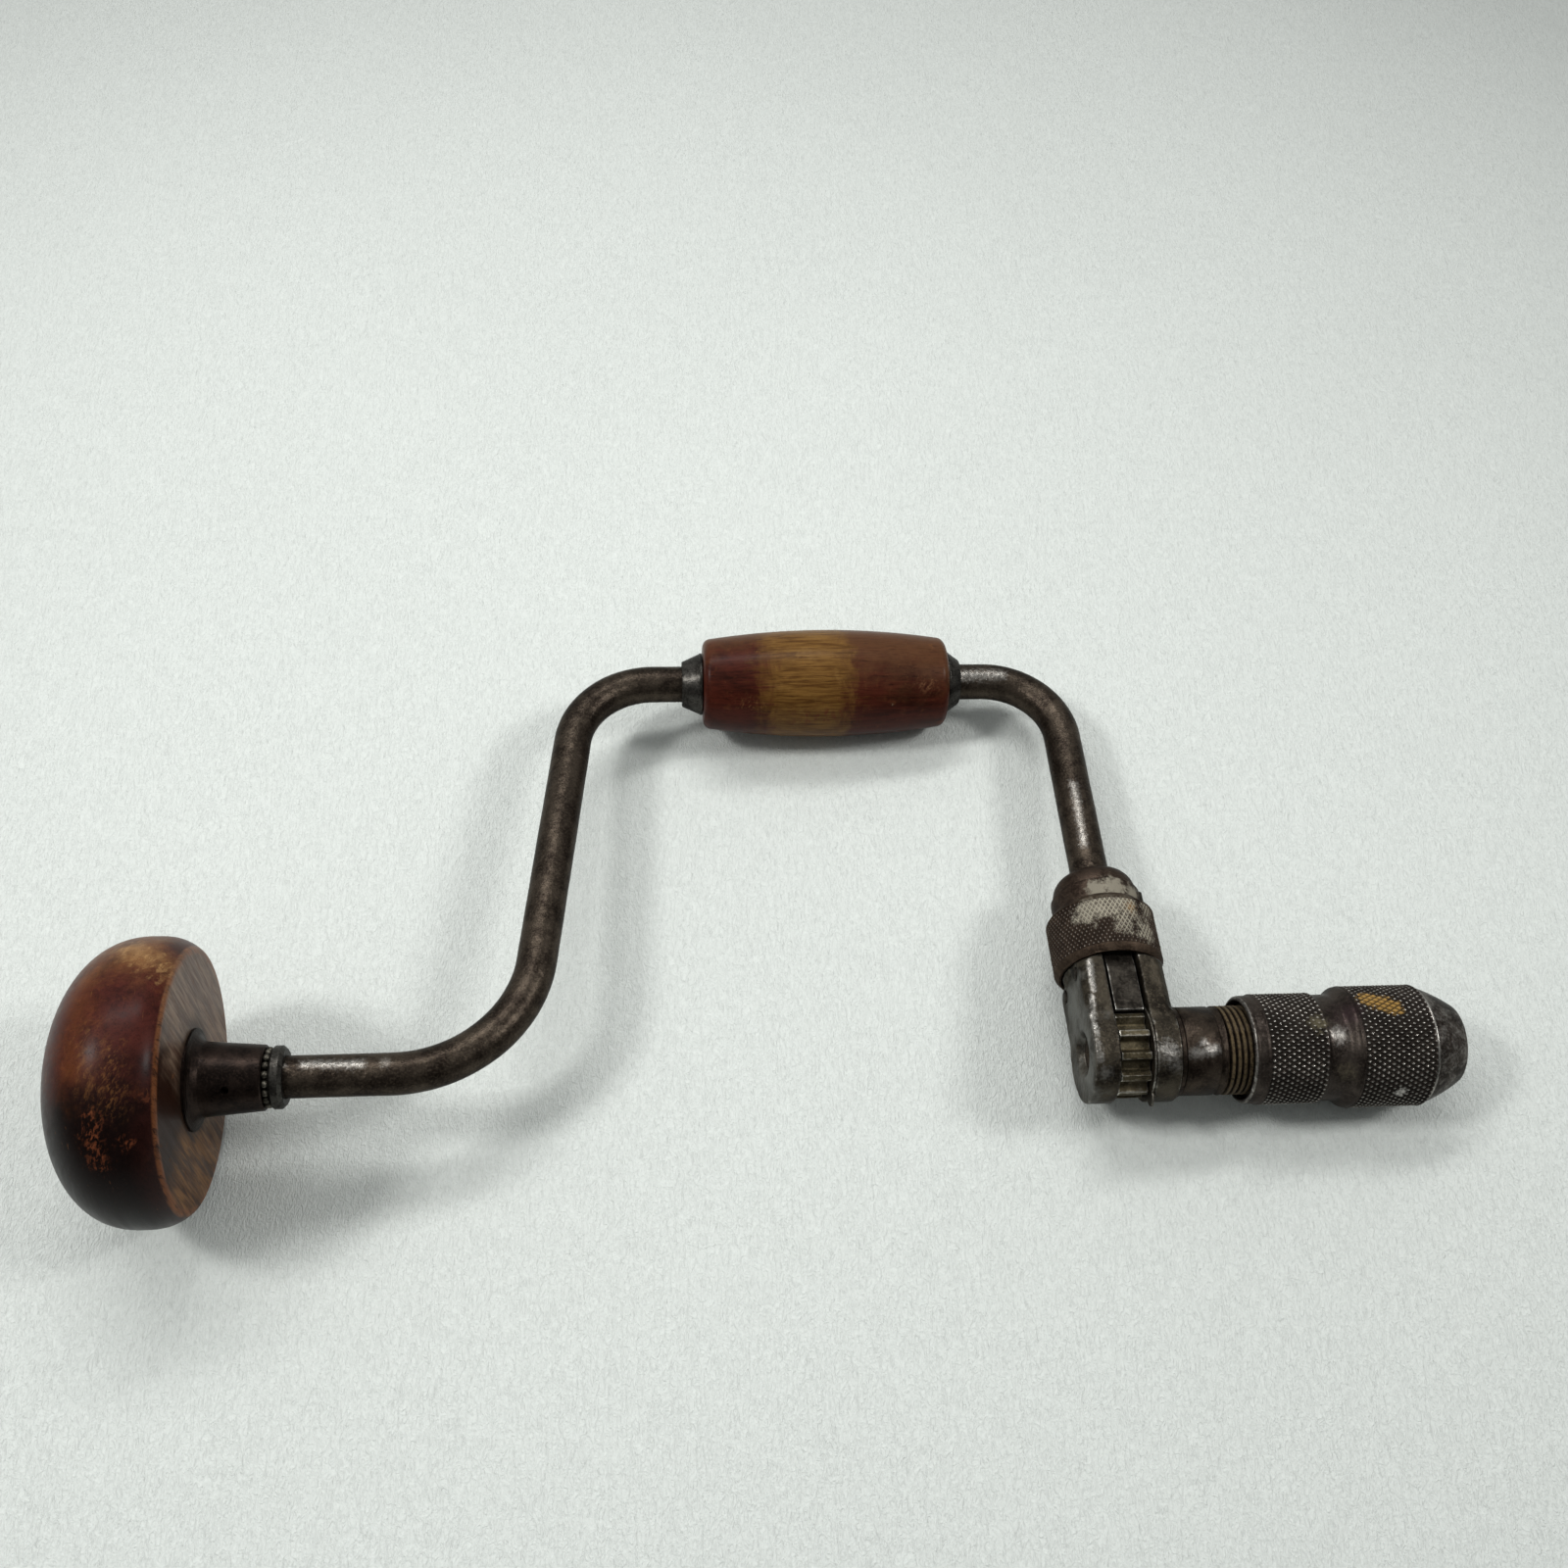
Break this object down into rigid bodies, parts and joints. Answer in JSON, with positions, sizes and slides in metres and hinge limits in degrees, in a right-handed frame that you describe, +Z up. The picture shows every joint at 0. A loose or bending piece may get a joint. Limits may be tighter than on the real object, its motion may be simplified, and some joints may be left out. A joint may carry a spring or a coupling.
{
  "type": "bit brace",
  "caption": "Lying bit brace with a round cranked rod, mushroom head, turned sweep handle, open ratchet with cam ring, and knurled screw chuck holding hinged jaws.",
  "frame": {"origin": "on the bench surface, below the middle of the outline of the lying brace", "axes": "+X from the head towards the chuck, +Y from the spindle axis towards the sweep handle, +Z up from the bench"},
  "size_m": [0.3625, 0.1792, 0.0729],
  "materials": {
    "head_wood": "red-brown stain under worn varnish",
    "handle_wood": "golden brown varnish, darker ends",
    "dark_steel": "dark patina, pitted, with worn edges",
    "worn_steel": "worn, brown-grey patina",
    "blue_steel": "smooth blue-grey",
    "bright_steel": "bright, worn"
  },
  "bodies": {
    "crank": {"crank_rod": "dark_steel", "thrust_balls": "bright_steel", "thrust_collar": "worn_steel", "journal_nut": "worn_steel", "rear_ferrule": "blue_steel", "front_ferrule": "blue_steel", "ratchet_fork": "dark_steel", "fork_cross_pin": "worn_steel", "ring_cap": "dark_steel", "ring_stop_pin": "dark_steel", "pawl_pin_upper": "bright_steel", "pawl_pin_lower": "bright_steel", "wheel_washer": "worn_steel"},
    "head": {"head_pad": "head_wood", "head_quill": "blue_steel"},
    "handle": {"sweep_handle": "handle_wood"},
    "selector_ring": {"cam_ring": "dark_steel"},
    "upper_pawl": {"pawl_upper": "worn_steel", "pawl_spring": "bright_steel"},
    "lower_pawl": {"pawl_lower": "worn_steel"},
    "spindle": {"chuck_spindle": "dark_steel", "ratchet_wheel": "worn_steel", "wheel_pin": "bright_steel", "spindle_washer": "worn_steel"},
    "closer": {"closing_ring": "bright_steel"},
    "shell": {"chuck_shell": "worn_steel"},
    "upper_jaw": {"jaw_upper": "bright_steel", "jaw_spring": "bright_steel"},
    "lower_jaw": {"jaw_lower": "bright_steel"}
  },
  "joints": [
    {"name": "head_spin", "type": "hinge", "parent": "crank", "child": "head", "pos_m": [-0.14802, -0.05331, 0.03562], "axis": [0.9981, 0, -0.0615], "continuous": true},
    {"name": "handle_spin", "type": "hinge", "parent": "crank", "child": "handle", "pos_m": [0.02031, 0.07336, 0.01622], "axis": [0.9981, 0, -0.0615], "continuous": true},
    {"name": "cam_ring_turn", "type": "hinge", "parent": "crank", "child": "selector_ring", "pos_m": [0.0914, -0.02339, 0.01874], "axis": [-0.0044, 0.9975, -0.0708], "range_deg": [-20, 20]},
    {"name": "pawl_upper_swing", "type": "hinge", "parent": "crank", "child": "upper_pawl", "pos_m": [0.09184, -0.03241, 0.02588], "axis": [0.9981, 0, -0.0615], "range_deg": [-5.7, 5.7], "deforming": ["pawl_spring"]},
    {"name": "pawl_lower_swing", "type": "hinge", "parent": "crank", "child": "lower_pawl", "pos_m": [0.09104, -0.03333, 0.01294], "axis": [0.9981, 0, -0.0615], "range_deg": [-5.7, 5.7]},
    {"name": "spindle_turn", "type": "hinge", "parent": "crank", "child": "spindle", "pos_m": [0.09153, -0.05331, 0.02086], "axis": [0.9981, 0, -0.0615], "continuous": true},
    {"name": "shell_advance", "type": "slide", "parent": "spindle", "child": "closer", "axis": [0.9981, 0, -0.0615], "range_m": [-0.004, 0.004]},
    {"name": "shell_turn", "type": "hinge", "parent": "closer", "child": "shell", "pos_m": [0.15141, -0.05331, 0.01718], "axis": [0.9981, 0, -0.0615], "range_deg": [-905, 905]},
    {"name": "jaw_upper_swing", "type": "hinge", "parent": "spindle", "child": "upper_jaw", "pos_m": [0.13908, -0.05292, 0.02353], "axis": [0.0044, -0.9975, 0.0708], "range_deg": [-2.2, 2.2], "deforming": ["jaw_spring"]},
    {"name": "jaw_lower_swing", "type": "hinge", "parent": "spindle", "child": "lower_jaw", "pos_m": [0.13839, -0.05371, 0.01238], "axis": [-0.0044, 0.9975, -0.0708], "range_deg": [-2.2, 2.2]}
  ],
  "couplings": [
    {"joint": "pawl_upper_swing", "follows": "cam_ring_turn", "ratio": 0.28},
    {"joint": "pawl_lower_swing", "follows": "cam_ring_turn", "ratio": 0.28},
    {"joint": "shell_turn", "follows": "shell_advance", "rad_per_m": 3927},
    {"joint": "jaw_upper_swing", "follows": "shell_advance", "rad_per_m": 9.3123},
    {"joint": "jaw_lower_swing", "follows": "shell_advance", "rad_per_m": 9.3123}
  ]
}
